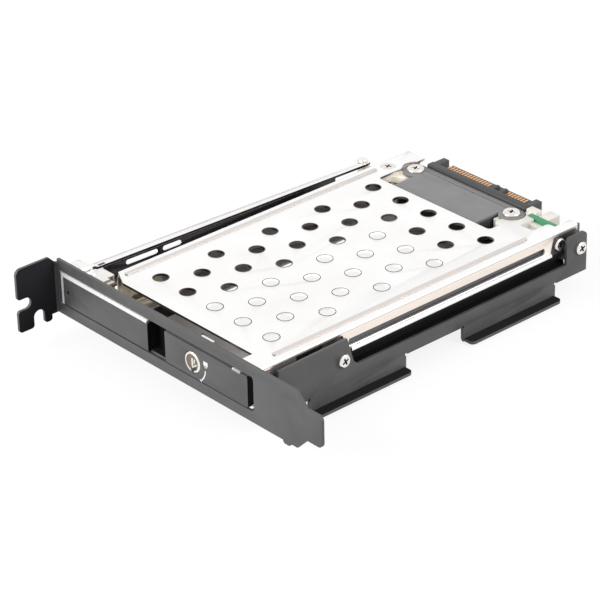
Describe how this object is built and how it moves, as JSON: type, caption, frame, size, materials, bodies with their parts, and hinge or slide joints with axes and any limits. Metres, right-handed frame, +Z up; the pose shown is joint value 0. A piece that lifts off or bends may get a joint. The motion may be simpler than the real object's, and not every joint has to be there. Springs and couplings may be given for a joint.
{
  "type": "expansion slot hard drive rack",
  "caption": "Expansion slot bracket carrying a vented sheet steel cage for one 2.5-inch drive, with a hinged locking door, eject rod and lever, and rear connector.",
  "frame": {"origin": "front face of the slot bracket's plate, at the outer face of its screw tab and its lower edge", "axes": "+X along the slot bracket from its screw tab to its tongue, +Y back into the computer, +Z up through the cage's vented cover"},
  "size_m": [0.12, 0.1534, 0.0263],
  "materials": {
    "black_paint": "satin black powder coat",
    "cage_steel": "rolled stainless sheet",
    "cover_steel": "bright rolled stainless sheet",
    "fitting_steel": "bright zinc",
    "spring_steel": "rolled spring steel",
    "rod_steel": "rolled stainless strip",
    "screw_nickel": "bright nickel plate",
    "lock_nickel": "polished nickel plate",
    "lock_bronze": "worn nickel brass",
    "black_plastic": "fine moulded texture",
    "grey_plastic": "flat moulded",
    "handle_black": "black anodised",
    "trim_bright": "polished",
    "lens_dark": "gloss",
    "clear_plastic": "clear moulded acrylic",
    "contact_gold": "gold flash",
    "board_green": "solder-resist gloss",
    "white_nylon": "natural nylon",
    "cream_nylon": "natural nylon"
  },
  "bodies": {
    "root": {"slot_bracket": "black_paint", "side_bracket": "black_paint", "cage_base": "cage_steel", "cage_cover": "cover_steel", "hinge_bracket": "fitting_steel", "hinge_pin": "fitting_steel", "door_catch": "fitting_steel", "side_spring": "spring_steel", "lever_post": "fitting_steel", "lever_screw": "screw_nickel", "drive_socket": "black_plastic", "connector_shield": "grey_plastic", "connector_housing": "black_plastic", "connector_contacts": "contact_gold", "circuit_board": "board_green", "board_header": "white_nylon", "right_guide": "white_nylon", "connector_post": "fitting_steel", "connector_screws": "screw_nickel", "side_screws": "screw_nickel"},
    "door": {"door_frame": "black_plastic", "handle_plate": "handle_black", "trim_strip": "trim_bright", "status_lens": "lens_dark", "light_pipe": "clear_plastic", "lock_barrel": "lock_nickel", "lock_nut": "lock_nickel", "crank_pin": "fitting_steel"},
    "lock": {"lock_core": "lock_bronze", "lock_cam": "fitting_steel", "cam_screw": "screw_nickel"},
    "rod": {"eject_rod": "rod_steel"},
    "lever": {"eject_lever": "cream_nylon", "lever_pin": "fitting_steel"}
  },
  "joints": [
    {"name": "door_hinge", "type": "hinge", "parent": "root", "child": "door", "pos_m": [0.0093, 0.0068, 0.0083], "axis": [0, 0, -1], "range_deg": [0, 90]},
    {"name": "lock_turn", "type": "hinge", "parent": "door", "child": "lock", "pos_m": [0.0647, 0, 0.0088], "axis": [0, -1, 0], "range_deg": [0, 90]},
    {"name": "rod_slide", "type": "slide", "parent": "root", "child": "rod", "axis": [0, 1, 0], "range_m": [0, 0.00707]},
    {"name": "lever_turn", "type": "hinge", "parent": "root", "child": "lever", "pos_m": [0.0182, 0.1211, 0.0108], "axis": [0, 0, -1], "range_deg": [0, 47.56]}
  ],
  "couplings": [
    {"joint": "rod_slide", "follows": "door_hinge", "m_per_rad": 0.0045016},
    {"joint": "lever_turn", "follows": "door_hinge", "ratio": 0.52835}
  ]
}
